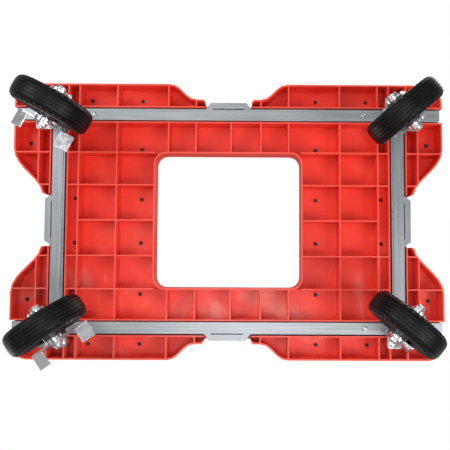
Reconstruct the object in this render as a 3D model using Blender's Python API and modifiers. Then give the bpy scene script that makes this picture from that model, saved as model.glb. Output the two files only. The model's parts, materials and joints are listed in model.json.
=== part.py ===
"""Moulded furniture dolly with a steel lashing frame, standing on four swivel casters.

Metres, +Z up. The origin is on the floor under the middle of the deck, +X runs
along the length and +Y across it. Casters are named front or back, left or right:
front is -Y and left is -X.
"""

import math

import bmesh
import bpy
from mathutils import Matrix, Vector

# Whole object
LENGTH = 0.8130
WIDTH = 0.5210
HEIGHT = 0.2350
GAP = 0.0003

# Heights above the floor
PLATE_TOP = 0.1900
PLATE_THICKNESS = 0.0050
PLATE_BOTTOM = PLATE_TOP - PLATE_THICKNESS
RAIL_BOTTOM = PLATE_TOP + GAP
RAIL_HEIGHT = 0.0380
RAIL_TOP = RAIL_BOTTOM + RAIL_HEIGHT
RIB_TIP = 0.1923
SKIN = 0.0030
SKIN_UNDER = HEIGHT - SKIN

# Deck outline and openings
CORNER_RADIUS = 0.0340
SIDE_RECESS_DEPTH = 0.2255
END_RECESS_DEPTH = 0.3455
OPENING_LENGTH = 0.2766
OPENING_WIDTH = 0.2546
OPENING_RADIUS = 0.0200
SKIRT = 0.0030
RIB = 0.0026
GRIP_HOLE_RADIUS = 0.0040
GRIP_HOLES = (
    (0.390, 0.237), (0.269, 0.237), (0.170, 0.237), (0.170, 0.141), (0.170, 0.0425),
    (0.294, 0.0425), (0.388, 0.152),
)

# Ribs, as distances from the middle of the deck
CROSS_CHANNEL = (0.3045, 0.3373)
SIDE_CHANNEL = (0.1868, 0.2163)
PANEL_X_RIBS = (0.2115, 0.2835)
BRIDGE_X_RIBS = (0.0615, 0.1140)
CENTRE_RIB_X = 0.0050
WING_X_RIB = 0.3595
Y_RIBS = (0.0670, 0.1288)
LEDGE_INNER_X = 0.2890
LEDGE_BOTTOM = 0.2140
BOSS_RADIUS = 0.0080
SCREW_PAD_RADIUS = 0.0080

# Steel frame
SIDE_RAIL_Y = 0.2010
SIDE_RAIL_WIDTH = 0.0220
SIDE_RAIL_LENGTH = 0.8020
CROSS_RAIL_X = 0.3205
CROSS_RAIL_WIDTH = 0.0240
RAIL_WALL = 0.0025
LASHING_DEPTH = 0.0120
SIDE_LASHING = (0.0340, 0.0430)
CROSS_LASHING = (0.0390, 0.0480)
LASHING_SLOT_HEIGHT = 0.0160
SIDE_SLOT_HALF = 0.0300
CROSS_SLOT_HALF = 0.0340
DRAIN_SLIT = 0.0016
HEM_GROOVE = 0.0012
SCREW_X = 0.2560
SCREW_RADIUS = 0.0026
SCREW_HEAD_RADIUS = 0.0048
SCREW_HEAD_HEIGHT = 0.0030

# Casters
SWIVEL_X = 0.3300
SWIVEL_Y = 0.2040
TRAIL = 0.0380
WHEEL_RADIUS = 0.0700
AXLE_HEIGHT = WHEEL_RADIUS
PLATE_HALF = 0.0330
PLATE_CORNER = 0.0050
BOLT_OFFSET_X = 0.0250
BOLT_OFFSET_Y = 0.0235
BOLT_RADIUS = 0.0030
BOLT_TOP = 0.2220
BOLT_HEAD_RADIUS = 0.0056
BOLT_HEAD_HEIGHT = 0.0050
HOLE_SLACK = 0.0004
RACE_INNER = 0.0185
RACE_OUTER = 0.0255
RACE_HEIGHT = 0.0040
KINGPIN_RADIUS = 0.0060
KINGPIN_FLANGE = 0.0090
KINGPIN_FLANGE_HEIGHT = 0.0022
KINGPIN_HEAD_RADIUS = 0.0100
KINGPIN_HEAD_HEIGHT = 0.0067
FORK_INSIDE = 0.0255
FORK_WALL = 0.0040
FORK_FRONT = -0.0240
FORK_REAR = 0.0300
FORK_TOP = PLATE_BOTTOM - RACE_HEIGHT - GAP - RACE_HEIGHT
FORK_WEB = FORK_TOP - 0.0047
LEG_END_RADIUS = 0.0150
LEG_SHOULDER = 0.1600
AXLE_RADIUS = 0.0060
AXLE_HEAD_RADIUS = 0.0105
AXLE_HEAD_HEIGHT = 0.0062
AXLE_NUT_HEIGHT = 0.0080
AXLE_END = 0.0030
BEARING_RADIUS = 0.0110
BEARING_HALF = 0.0251
HUB_RADIUS = 0.0160
HUB_HALF = 0.0240
RIM_RADIUS = 0.0430
TYRE_HALF = 0.0205

# Side brake lever: a rocking plate on the axle with a tab bent out at each end
LEVER_PLATE = 0.0030
LEVER_INSIDE = FORK_INSIDE + FORK_WALL + 0.0004
LEVER_REACH = (-0.0370, 0.0480)
LEVER_HALF_HEIGHT = 0.0075
LEVER_HUB_RADIUS = 0.0150
TAB_LENGTH = 0.0240
TAB_OUT = 0.0285
TAB_TILT = math.radians(25)

# name, side along X, side along Y, swivel angle, side of the axle nut, has a brake
CASTERS = (
    ("fl", -1, -1, math.radians(28), 1, True),
    ("bl", -1, 1, math.radians(-34), 1, True),
    ("fr", 1, -1, math.radians(140), -1, False),
    ("br", 1, 1, math.radians(-140), 1, False),
)

MATERIALS = {
    "deck_red": ((0.80, 0.045, 0.028), 0.42, 0.0),
    "galvanised": ((0.44, 0.46, 0.47), 0.42, 1.0),
    "bright_zinc": ((0.78, 0.79, 0.80), 0.24, 1.0),
    "wheel_rubber": ((0.018, 0.018, 0.019), 0.62, 0.0),
    "rim_grey": ((0.09, 0.09, 0.095), 0.45, 0.3),
}


def clear_scene():
    for thing in list(bpy.data.objects):
        bpy.data.objects.remove(thing, do_unlink=True)


def new_collection(name):
    group = bpy.data.collections.new(name)
    bpy.context.scene.collection.children.link(group)
    return group


def make_material(name):
    colour, roughness, metallic = MATERIALS[name]
    material = bpy.data.materials.new(name)
    material.use_nodes = True
    shader = material.node_tree.nodes["Principled BSDF"]
    shader.inputs["Base Color"].default_value = (*colour, 1.0)
    shader.inputs["Roughness"].default_value = roughness
    shader.inputs["Metallic"].default_value = metallic
    return material


def place(mesh, name, group, material=None, parent=None, location=(0, 0, 0), rotation=(0, 0, 0)):
    """Put a mesh in the scene as an object; an object without a material is a cutter."""
    thing = bpy.data.objects.new(name, mesh)
    group.objects.link(thing)
    thing.parent = parent
    thing.location = location
    thing.rotation_euler = rotation
    if material is None:
        thing.hide_render = True
        thing.display_type = "WIRE"
    else:
        mesh.materials.append(material)
    return thing


def place_empty(name, group, parent=None, location=(0, 0, 0), rotation=(0, 0, 0)):
    empty = bpy.data.objects.new(name, None)
    group.objects.link(empty)
    empty.parent = parent
    empty.location = location
    empty.rotation_euler = rotation
    return empty


def mesh_from(bm, name):
    mesh = bpy.data.meshes.new(name)
    bm.to_mesh(mesh)
    bm.free()
    return mesh


def add_box(bm, low, high):
    low = Vector(low)
    high = Vector(high)
    middle = Matrix.Translation((low + high) / 2)
    size = Matrix.Diagonal((*(high - low), 1.0))
    bmesh.ops.create_cube(bm, size=1.0, matrix=middle @ size)


def add_cylinder(bm, centre, radius, low, high, sides=12, turn=0.0):
    middle = Matrix.Translation((centre[0], centre[1], (low + high) / 2))
    bmesh.ops.create_cone(
        bm, cap_ends=True, segments=sides, radius1=radius, radius2=radius,
        depth=high - low, matrix=middle @ Matrix.Rotation(turn, 4, "Z"))


def box_mesh(name, low, high):
    bm = bmesh.new()
    add_box(bm, low, high)
    return mesh_from(bm, name)


def outline_mesh(name, loops, low, high):
    """A flat outline, with any holes as further loops, made solid between two heights."""
    curve = bpy.data.curves.new(name, "CURVE")
    curve.dimensions = "2D"
    curve.fill_mode = "BOTH"
    curve.extrude = (high - low) / 2
    for loop in loops:
        spline = curve.splines.new("POLY")
        spline.points.add(len(loop) - 1)
        for point, (x, y) in zip(spline.points, loop):
            point.co = (x, y, 0.0, 1.0)
        spline.use_cyclic_u = True
    carrier = bpy.data.objects.new(name, curve)
    bpy.context.scene.collection.objects.link(carrier)
    graph = bpy.context.evaluated_depsgraph_get()
    mesh = bpy.data.meshes.new_from_object(carrier.evaluated_get(graph))
    bpy.data.objects.remove(carrier, do_unlink=True)
    bm = bmesh.new()
    bm.from_mesh(mesh)
    bmesh.ops.remove_doubles(bm, verts=bm.verts, dist=0.00001)
    bmesh.ops.dissolve_limit(bm, angle_limit=math.radians(0.1), verts=bm.verts, edges=bm.edges)
    bmesh.ops.recalc_face_normals(bm, faces=bm.faces)
    bmesh.ops.translate(bm, verts=bm.verts, vec=(0, 0, (low + high) / 2))
    bm.to_mesh(mesh)
    bm.free()
    return mesh


def turned_mesh(name, profile, closed):
    """The profile of a turned piece: points of radius and height, outer side running down."""
    bm = bmesh.new()
    points = [bm.verts.new((radius, 0.0, height)) for radius, height in profile]
    for first, second in zip(points, points[1:]):
        bm.edges.new((first, second))
    if closed:
        bm.edges.new((points[-1], points[0]))
    return mesh_from(bm, name)


def add_screw(thing, steps):
    turn = thing.modifiers.new("turn", "SCREW")
    turn.axis = "Z"
    turn.angle = math.tau
    turn.screw_offset = 0.0
    turn.steps = steps
    turn.render_steps = steps
    turn.use_merge_vertices = True
    turn.merge_threshold = 0.00001
    turn.use_smooth_shade = True


def add_boolean(thing, other, operation, use_self=False):
    step = thing.modifiers.new(operation.lower(), "BOOLEAN")
    step.operation = operation
    step.object = other
    step.solver = "EXACT"
    step.use_self = use_self


def merge_flat_faces(thing):
    """Join the slivers that cuts leave on flat faces, which the solids don't need."""
    step = thing.modifiers.new("flat", "DECIMATE")
    step.decimate_type = "DISSOLVE"
    step.angle_limit = math.radians(0.2)


def circle(centre, radius, sides):
    points = []
    for step in range(sides):
        angle = math.tau * step / sides
        points.append((centre[0] + radius * math.cos(angle), centre[1] + radius * math.sin(angle)))
    return points


def arc(centre, radius, start, end, steps):
    points = []
    for step in range(steps + 1):
        angle = start + (end - start) * step / steps
        points.append((centre[0] + radius * math.cos(angle), centre[1] + radius * math.sin(angle)))
    return points


def bezier(a, b, c, d, steps):
    points = []
    for step in range(steps + 1):
        t = step / steps
        u = 1 - t
        weights = (u * u * u, 3 * u * u * t, 3 * u * t * t, t * t * t)
        points.append(tuple(sum(w * p[i] for w, p in zip(weights, (a, b, c, d))) for i in (0, 1)))
    return points


def rounded_rectangle(half_x, half_y, radius, steps=5, centre=(0, 0)):
    points = []
    for quarter, (side_x, side_y) in enumerate(((1, 1), (-1, 1), (-1, -1), (1, -1))):
        corner = (centre[0] + side_x * (half_x - radius), centre[1] + side_y * (half_y - radius))
        start = quarter * math.pi / 2
        points += arc(corner, radius, start, start + math.pi / 2, steps)
    return points


def inset(points, distance):
    """Move an anticlockwise outline inwards by the same distance everywhere."""
    moved = []
    for i, here in enumerate(points):
        before = Vector(points[i - 1])
        here = Vector(here)
        after = Vector(points[(i + 1) % len(points)])
        first = (here - before).normalized()
        second = (after - here).normalized()
        normal_a = Vector((-first.y, first.x))
        normal_b = Vector((-second.y, second.x))
        corner = here + (normal_a + normal_b) * distance / (1 + normal_a.dot(normal_b))
        moved.append(tuple(corner))
    return moved


def mirrored_quarter(quarter):
    """Close an outline from its quarter, which runs from near the X axis to near the Y axis."""
    second = [(-x, y) for x, y in reversed(quarter) if x > 0]
    upper = quarter + second
    lower = [(x, -y) for x, y in reversed(upper) if y > 0]
    return upper + lower


def deck_outline():
    half_x = LENGTH / 2
    half_y = WIDTH / 2
    corner = (half_x - CORNER_RADIUS, half_y - CORNER_RADIUS)
    quarter = [(END_RECESS_DEPTH, 0.0460)]
    quarter += bezier((0.3515, 0.0520), (0.3540, 0.0780), (half_x, 0.1000), (half_x, 0.1360), 7)
    quarter += arc(corner, CORNER_RADIUS, 0.0, math.pi / 2, 6)
    quarter += bezier((0.1130, half_y), (0.0880, half_y), (0.0840, 0.2310), (0.0600, 0.2310), 6)
    quarter += [(0.0480, 0.2310), (0.0425, SIDE_RECESS_DEPTH)]
    return mirrored_quarter(quarter)


def caster_place(side_x, side_y):
    """Where a caster's swivel axis stands."""
    return (side_x * SWIVEL_X, side_y * SWIVEL_Y)


def caster_places():
    return [caster_place(side_x, side_y) for _, side_x, side_y, _, _, _ in CASTERS]


def bolt_places(centre):
    """The four plate bolts of the caster at this place, anticlockwise."""
    places = []
    for side_x, side_y in ((1, 1), (-1, 1), (-1, -1), (1, -1)):
        places.append((centre[0] + side_x * BOLT_OFFSET_X, centre[1] + side_y * BOLT_OFFSET_Y))
    return places


def four_quarters(x, y):
    return [(side_x * x, side_y * y) for side_x in (-1, 1) for side_y in (-1, 1)]


def rib_mesh():
    """Everything that stays between the deck's pockets, a little taller than the pockets."""
    low = RIB_TIP - 0.0040
    high = SKIN_UNDER + 0.0010
    half = RIB / 2
    bm = bmesh.new()

    def x_rib(x, y_from, y_to):
        add_box(bm, (x - half, y_from, low), (x + half, y_to, high))

    def y_rib(y, x_from, x_to):
        add_box(bm, (x_from, y - half, low), (x_to, y + half, high))

    inner_channel, outer_channel = SIDE_CHANNEL
    edge_y = WIDTH / 2
    edge_x = LENGTH / 2
    for side in (-1, 1):
        for channel in SIDE_CHANNEL:
            y_rib(side * channel, -edge_x, edge_x)
        for wall in CROSS_CHANNEL:
            x_rib(side * wall, -inner_channel, inner_channel)
            for end in (-1, 1):
                x_rib(side * wall, *sorted((end * outer_channel, end * edge_y)))
        for rib in PANEL_X_RIBS:
            x_rib(side * rib, -inner_channel, inner_channel)
        for rib in PANEL_X_RIBS + BRIDGE_X_RIBS:
            for end in (-1, 1):
                x_rib(side * rib, *sorted((end * outer_channel, end * edge_y)))
        for rib in BRIDGE_X_RIBS:
            for end in (-1, 1):
                x_rib(side * rib, *sorted((end * OPENING_WIDTH / 2, end * inner_channel)))
        x_rib(CENTRE_RIB_X, *sorted((side * OPENING_WIDTH / 2, side * inner_channel)))
        for end in (-1, 1):
            x_rib(side * WING_X_RIB, *sorted((end * 0.0500, end * inner_channel)))
            for rib in Y_RIBS:
                y_rib(end * rib, *sorted((side * OPENING_LENGTH / 2, side * CROSS_CHANNEL[0])))
                y_rib(end * rib, *sorted((side * CROSS_CHANNEL[1], side * edge_x)))
        y_rib(0.0, *sorted((side * OPENING_LENGTH / 2, side * PANEL_X_RIBS[1])))
        ledge = sorted((side * LEDGE_INNER_X, side * CROSS_CHANNEL[0]))
        add_box(bm, (ledge[0], -Y_RIBS[1], LEDGE_BOTTOM), (ledge[1], Y_RIBS[1], high))
    for centre in caster_places():
        for bolt in bolt_places(centre):
            add_cylinder(bm, bolt, BOSS_RADIUS, low, high, sides=12)
    for screw in four_quarters(SCREW_X, SIDE_RAIL_Y):
        add_cylinder(bm, screw, SCREW_PAD_RADIUS, RAIL_TOP + GAP, high, sides=10)
    return mesh_from(bm, "deck_ribs")


def deck_bore_mesh():
    """Grip holes, bolt and screw bores, room for the rails, their windows and end notches."""
    bm = bmesh.new()
    below = RIB_TIP - 0.0020
    window_top = RAIL_TOP + 0.0012
    for x, y in GRIP_HOLES:
        for spot in four_quarters(x, y):
            add_cylinder(bm, spot, GRIP_HOLE_RADIUS, below, HEIGHT + 0.0020, sides=8)
    for centre in caster_places():
        for bolt in bolt_places(centre):
            add_cylinder(bm, bolt, BOLT_RADIUS + HOLE_SLACK, below, BOLT_TOP + 0.0015, sides=8)
    for screw in four_quarters(SCREW_X, SIDE_RAIL_Y):
        add_cylinder(bm, screw, SCREW_RADIUS + HOLE_SLACK, RAIL_TOP, SKIN_UNDER + 0.0010, sides=8)
    wall = RIB / 2 + 0.0002
    for side in (-1, 1):
        middle = side * SIDE_RAIL_Y
        half = SIDE_RAIL_WIDTH / 2 + GAP
        reach = SIDE_RAIL_LENGTH / 2 + GAP
        add_box(bm, (-reach, middle - half, below), (reach, middle + half, RAIL_TOP + GAP))
        middle = side * CROSS_RAIL_X
        half = CROSS_RAIL_WIDTH / 2 + GAP
        reach = SIDE_RAIL_Y - SIDE_RAIL_WIDTH / 2
        add_box(bm, (middle - half, -reach, below), (middle + half, reach, RAIL_TOP + GAP))
        reach = SIDE_LASHING[1] + 0.0015
        across = sorted((side * (SIDE_CHANNEL[1] - wall), side * 0.2400))
        add_box(bm, (-reach, across[0], below), (reach, across[1], window_top))
        reach = CROSS_LASHING[1] + 0.0015
        across = sorted((side * (CROSS_CHANNEL[1] - wall), side * 0.3700))
        add_box(bm, (across[0], -reach, below), (across[1], reach, window_top))
        for end in (-1, 1):
            along = sorted((end * 0.3980, end * 0.4200))
            across = sorted((side * (SIDE_CHANNEL[0] + wall), side * (SIDE_CHANNEL[1] - wall)))
            add_box(bm, (along[0], across[0], below), (along[1], across[1], window_top))
            along = sorted((end * (CROSS_CHANNEL[0] + wall), end * (CROSS_CHANNEL[1] - wall)))
            across = sorted((side * (SIDE_CHANNEL[0] - 0.0030), side * (SIDE_CHANNEL[0] + 0.0030)))
            add_box(bm, (along[0], across[0], below), (along[1], across[1], window_top))
    return mesh_from(bm, "deck_bores")


def make_deck(group, cutters, material):
    outline = deck_outline()
    opening = rounded_rectangle(OPENING_LENGTH / 2, OPENING_WIDTH / 2, OPENING_RADIUS)
    deck = place(outline_mesh("deck", [outline, opening], RIB_TIP, HEIGHT), "deck", group, material)
    pocket_mesh = outline_mesh("pockets", [inset(outline, SKIRT)], RIB_TIP - 0.0020, SKIN_UNDER)
    pockets = place(pocket_mesh, "deck_pockets", cutters)
    ribs = place(rib_mesh(), "deck_ribs", cutters)
    rim_outline = rounded_rectangle(
        OPENING_LENGTH / 2 + SKIRT, OPENING_WIDTH / 2 + SKIRT, OPENING_RADIUS + SKIRT)
    rim_mesh = outline_mesh("opening_rim", [rim_outline], RIB_TIP - 0.0040, SKIN_UNDER + 0.0010)
    rim = place(rim_mesh, "opening_rim", cutters)
    add_boolean(pockets, ribs, "DIFFERENCE", use_self=True)
    add_boolean(pockets, rim, "DIFFERENCE")
    add_boolean(deck, pockets, "DIFFERENCE")
    add_boolean(deck, place(deck_bore_mesh(), "deck_bores", cutters), "DIFFERENCE", use_self=True)
    merge_flat_faces(deck)


def rail_outline(length, width, lashing):
    """Plan of a rail along X whose pressed-out lashing point bulges towards +Y."""
    flat, foot = lashing
    half = length / 2
    edge = width / 2
    out = edge + LASHING_DEPTH
    return [(-half, -edge), (half, -edge), (half, edge), (foot, edge), (flat, out),
            (-flat, out), (-foot, edge), (-half, edge)]


def rail_cut_mesh(name, length, width, lashing, slot_half, screws, hem):
    """The hollow of a rail, its lashing slot, drain slits and screw holes."""
    edge = width / 2
    bm = bmesh.new()
    hollow = inset(rail_outline(length, width, lashing), RAIL_WALL)
    stretch = (length / 2 + 0.0100) / (length / 2 - RAIL_WALL)
    hollow = [(x * stretch, y) if abs(x) > lashing[1] + RAIL_WALL else (x, y) for x, y in hollow]
    bm.from_mesh(outline_mesh(name, [hollow], RAIL_BOTTOM + RAIL_WALL, RAIL_TOP - RAIL_WALL))
    middle = (RAIL_BOTTOM + RAIL_TOP) / 2
    add_box(bm, (-slot_half, edge + LASHING_DEPTH - RAIL_WALL - 0.0010, middle - LASHING_SLOT_HEIGHT / 2),
            (slot_half, edge + LASHING_DEPTH + 0.0100, middle + LASHING_SLOT_HEIGHT / 2))
    add_box(bm, (-slot_half, edge - DRAIN_SLIT / 2, RAIL_BOTTOM - 0.0010),
            (slot_half, edge + DRAIN_SLIT / 2, RAIL_BOTTOM + RAIL_WALL + 0.0005))
    if hem:
        groove = -edge + 0.0032
        add_box(bm, (-length / 2 - 0.0010, groove - HEM_GROOVE / 2, RAIL_BOTTOM - 0.0010),
                (length / 2 + 0.0010, groove + HEM_GROOVE / 2, RAIL_BOTTOM + HEM_GROOVE))
    for x in screws:
        add_cylinder(bm, (x, 0.0), SCREW_RADIUS + HOLE_SLACK, RAIL_BOTTOM - 0.0010,
                     RAIL_TOP + 0.0010, sides=10)
    return mesh_from(bm, name)


def make_rails(group, cutters, material):
    cross_length = 2 * (SIDE_RAIL_Y - SIDE_RAIL_WIDTH / 2 - GAP)
    side = (SIDE_RAIL_LENGTH, SIDE_RAIL_WIDTH, SIDE_LASHING)
    cross = (cross_length, CROSS_RAIL_WIDTH, CROSS_LASHING)
    rails = (
        ("rail_front", (0, -SIDE_RAIL_Y, 0), math.pi, side, SIDE_SLOT_HALF, (-SCREW_X, SCREW_X), False),
        ("rail_back", (0, SIDE_RAIL_Y, 0), 0.0, side, SIDE_SLOT_HALF, (-SCREW_X, SCREW_X), False),
        ("cross_rail_left", (-CROSS_RAIL_X, 0, 0), math.pi / 2, cross, CROSS_SLOT_HALF, (), True),
        ("cross_rail_right", (CROSS_RAIL_X, 0, 0), -math.pi / 2, cross, CROSS_SLOT_HALF, (), True),
    )
    for name, location, turn, size, slot_half, screws, hem in rails:
        mesh = outline_mesh(name, [rail_outline(*size)], RAIL_BOTTOM, RAIL_TOP)
        rail = place(mesh, name, group, material, location=location, rotation=(0, 0, turn))
        cut_mesh = rail_cut_mesh(name + "_cut", *size, slot_half, screws, hem)
        cut = place(cut_mesh, name + "_cut", cutters, location=location, rotation=(0, 0, turn))
        add_boolean(rail, cut, "DIFFERENCE", use_self=True)


def make_deck_screws(group, material):
    for name, side_x, side_y, _, _, _ in CASTERS:
        screw = (
            (0.0, SKIN_UNDER),
            (SCREW_RADIUS, SKIN_UNDER),
            (SCREW_RADIUS, RAIL_BOTTOM - GAP),
            (SCREW_HEAD_RADIUS, RAIL_BOTTOM - GAP),
            (SCREW_HEAD_RADIUS * 0.85, RAIL_BOTTOM - GAP - SCREW_HEAD_HEIGHT * 0.8),
            (0.0, RAIL_BOTTOM - GAP - SCREW_HEAD_HEIGHT),
        )
        mesh = turned_mesh("deck_screw_" + name, screw, closed=False)
        centre = (side_x * SCREW_X, side_y * SIDE_RAIL_Y, 0)
        add_screw(place(mesh, "deck_screw_" + name, group, material, location=centre), 12)


def hex_bolt(name, group, material, head_radius, head, shank_radius, shank, cutters, **spot):
    """A hexagon head with a round shank standing on it, both given as (low, high) along Z."""
    bm = bmesh.new()
    add_cylinder(bm, (0, 0), head_radius, *head, sides=6)
    bolt = place(mesh_from(bm, name), name, group, material, **spot)
    bm = bmesh.new()
    add_cylinder(bm, (0, 0), shank_radius, *shank, sides=12, turn=math.radians(15))
    stem = place(mesh_from(bm, name + "_shank"), name + "_shank", cutters, **spot)
    add_boolean(bolt, stem, "UNION")
    return bolt


def make_plate(name, centre, group, cutters, metals):
    """Top plate with its pressed lower race, four bolts and the kingpin that holds the fork."""
    zinc = metals["bright_zinc"]
    outline = rounded_rectangle(PLATE_HALF, PLATE_HALF, PLATE_CORNER, steps=4)
    holes = [circle((x, y), BOLT_RADIUS + HOLE_SLACK, 10) for x, y in bolt_places((0, 0))]
    mesh = outline_mesh("plate", [outline] + holes, PLATE_BOTTOM, PLATE_TOP)
    spot = {"location": (*centre, 0)}
    plate = place(mesh, "caster_plate_" + name, group, zinc, **spot)
    race = (
        (RACE_OUTER, PLATE_BOTTOM + 0.0010),
        (RACE_OUTER, PLATE_BOTTOM - RACE_HEIGHT),
        (RACE_INNER, PLATE_BOTTOM - RACE_HEIGHT),
        (RACE_INNER, PLATE_BOTTOM + 0.0010),
    )
    race_name = "upper_race_" + name
    ring = place(turned_mesh(race_name, race, closed=True), race_name, cutters, **spot)
    add_screw(ring, 20)
    bm = bmesh.new()
    flange_seat = PLATE_TOP - KINGPIN_FLANGE_HEIGHT - 2 * GAP
    add_cylinder(bm, (0, 0), KINGPIN_RADIUS + HOLE_SLACK, PLATE_BOTTOM - 0.0010,
                 flange_seat + 0.0005, sides=12)
    add_cylinder(bm, (0, 0), KINGPIN_FLANGE + HOLE_SLACK, flange_seat, PLATE_TOP + 0.0010, sides=12)
    bore = place(mesh_from(bm, "kingpin_bore_" + name), "kingpin_bore_" + name, cutters, **spot)
    add_boolean(plate, ring, "UNION")
    add_boolean(plate, bore, "DIFFERENCE", use_self=True)

    head_top = FORK_WEB - GAP
    flange_low = PLATE_TOP - GAP - KINGPIN_FLANGE_HEIGHT
    pin = (
        (0.0, PLATE_TOP - GAP),
        (KINGPIN_FLANGE, PLATE_TOP - GAP),
        (KINGPIN_FLANGE, flange_low),
        (KINGPIN_RADIUS, flange_low),
        (KINGPIN_RADIUS, head_top),
        (KINGPIN_HEAD_RADIUS, head_top),
        (KINGPIN_HEAD_RADIUS * 0.9, head_top - KINGPIN_HEAD_HEIGHT),
        (0.0, head_top - KINGPIN_HEAD_HEIGHT),
    )
    mesh = turned_mesh("kingpin_" + name, pin, closed=False)
    add_screw(place(mesh, "kingpin_" + name, group, zinc, **spot), 12)

    head = (PLATE_BOTTOM - GAP - BOLT_HEAD_HEIGHT, PLATE_BOTTOM - GAP)
    shank = (PLATE_BOTTOM - GAP - 0.0010, BOLT_TOP)
    for number, (x, y) in enumerate(bolt_places(centre), start=1):
        hex_bolt(f"plate_bolt_{name}_{number}", group, zinc, BOLT_HEAD_RADIUS, head,
                 BOLT_RADIUS, shank, cutters, location=(x, y, 0))


def leg_outline():
    """Side view of a fork leg, seen along the axle: along the trail, then height."""
    hub = (TRAIL, AXLE_HEIGHT)
    points = [(FORK_FRONT, FORK_TOP), (FORK_FRONT, FORK_TOP - 0.0100)]
    points += [(FORK_FRONT + 0.0080, LEG_SHOULDER - 0.0120)]
    points += arc(hub, LEG_END_RADIUS, math.radians(205), math.radians(365), 9)
    points += [(FORK_REAR, LEG_SHOULDER - 0.0140), (FORK_REAR, FORK_TOP)]
    return points


def make_fork(name, swivel, group, cutters, metals, nut_side):
    zinc = metals["bright_zinc"]
    web_outline = rounded_rectangle(
        (FORK_REAR - FORK_FRONT) / 2, FORK_INSIDE + FORK_WALL, 0.0080, steps=3,
        centre=((FORK_REAR + FORK_FRONT) / 2, 0))
    mesh = outline_mesh("fork_" + name, [web_outline], FORK_WEB, FORK_TOP)
    fork = place(mesh, "fork_" + name, group, zinc, parent=swivel)
    flip = math.pi / 2
    for side, word in ((-1, "near"), (1, "far")):
        leg_name = f"fork_leg_{word}_{name}"
        edges = sorted((side * FORK_INSIDE, side * (FORK_INSIDE + FORK_WALL)))
        mesh = outline_mesh(leg_name, [leg_outline()], -edges[1], -edges[0])
        leg = place(mesh, leg_name, cutters, parent=swivel, rotation=(flip, 0, 0))
        add_boolean(fork, leg, "UNION")
    race = (
        (RACE_OUTER - 0.0010, FORK_TOP + RACE_HEIGHT),
        (RACE_OUTER + 0.0020, FORK_TOP - 0.0010),
        (RACE_INNER, FORK_TOP - 0.0010),
        (RACE_INNER, FORK_TOP + RACE_HEIGHT),
    )
    ring_name = "lower_race_" + name
    ring = place(turned_mesh(ring_name, race, closed=True), ring_name, cutters, parent=swivel)
    add_screw(ring, 20)
    add_boolean(fork, ring, "UNION")
    bm = bmesh.new()
    add_cylinder(bm, (0, 0), KINGPIN_RADIUS + HOLE_SLACK, FORK_WEB - 0.0020, FORK_TOP + 0.0020, sides=12)
    add_boolean(fork, place(mesh_from(bm, "fork_eye_" + name), "fork_eye_" + name, cutters, parent=swivel),
                "DIFFERENCE")
    bm = bmesh.new()
    reach = FORK_INSIDE + FORK_WALL + 0.0020
    add_cylinder(bm, (0, 0), AXLE_RADIUS + HOLE_SLACK, -reach, reach, sides=12)
    bore_name = "axle_bore_" + name
    bore = place(mesh_from(bm, bore_name), bore_name, cutters, parent=swivel,
                 location=(TRAIL, 0, AXLE_HEIGHT), rotation=(flip * nut_side, 0, 0))
    add_boolean(fork, bore, "DIFFERENCE")


def tyre_profile():
    shoulder = ((RIM_RADIUS, 0.0150), (0.0490, 0.0190), (0.0560, TYRE_HALF), (0.0665, 0.0172),
                (WHEEL_RADIUS, 0.0100))
    return list(shoulder) + [(radius, -height) for radius, height in reversed(shoulder)]


def rim_profile():
    seat = RIM_RADIUS - GAP
    bore = BEARING_RADIUS + GAP
    face = ((bore, HUB_HALF), (HUB_RADIUS, HUB_HALF), (HUB_RADIUS + 0.0020, 0.0070),
            (0.0350, 0.0080), (0.0380, 0.0148), (seat, 0.0148))
    return list(face) + [(radius, -height) for radius, height in reversed(face)]


def make_wheel(name, axle, group, cutters, metals, brake):
    """Tyre, rim, bearing, and the axle bolt with its nut; local +Z points to the nut."""
    zinc = metals["bright_zinc"]
    turned = (
        ("tyre_" + name, tyre_profile(), metals["wheel_rubber"], 32),
        ("rim_" + name, rim_profile(), metals["rim_grey"], 20),
        ("wheel_bearing_" + name, [
            (BEARING_RADIUS, BEARING_HALF), (BEARING_RADIUS, -BEARING_HALF),
            (AXLE_RADIUS + GAP, -BEARING_HALF), (AXLE_RADIUS + GAP, BEARING_HALF)], zinc, 16),
    )
    for piece, profile, material, steps in turned:
        mesh = turned_mesh(piece, profile, closed=True)
        add_screw(place(mesh, piece, group, material, parent=axle), steps)
    outside = FORK_INSIDE + FORK_WALL + GAP
    nut_low = outside
    if brake:
        nut_low = LEVER_INSIDE + LEVER_PLATE + GAP
    nut_high = nut_low + AXLE_NUT_HEIGHT
    hex_bolt("axle_bolt_" + name, group, zinc, AXLE_HEAD_RADIUS, (-outside - AXLE_HEAD_HEIGHT, -outside),
             AXLE_RADIUS, (-outside - 0.0010, nut_high + AXLE_END), cutters, parent=axle)
    bm = bmesh.new()
    add_cylinder(bm, (0, 0), AXLE_HEAD_RADIUS, nut_low, nut_high, sides=6)
    nut = place(mesh_from(bm, "axle_nut_" + name), "axle_nut_" + name, group, zinc, parent=axle)
    bm = bmesh.new()
    add_cylinder(bm, (0, 0), AXLE_RADIUS + GAP, nut_low - 0.0020, nut_high + 0.0020, sides=12,
                 turn=math.radians(15))
    bore = place(mesh_from(bm, "nut_bore_" + name), "nut_bore_" + name, cutters, parent=axle)
    add_boolean(nut, bore, "DIFFERENCE")


def lever_outline():
    """Side view of the rocking plate about the axle: an eye with an arm to each side."""
    back, front = LEVER_REACH
    edge = LEVER_HALF_HEIGHT
    points = arc((0, 0), LEVER_HUB_RADIUS, math.radians(-145), math.radians(-35), 6)
    points += [(front, -edge), (front, edge)]
    points += arc((0, 0), LEVER_HUB_RADIUS, math.radians(35), math.radians(145), 6)
    points += [(back, edge), (back, -edge)]
    return points


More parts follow.
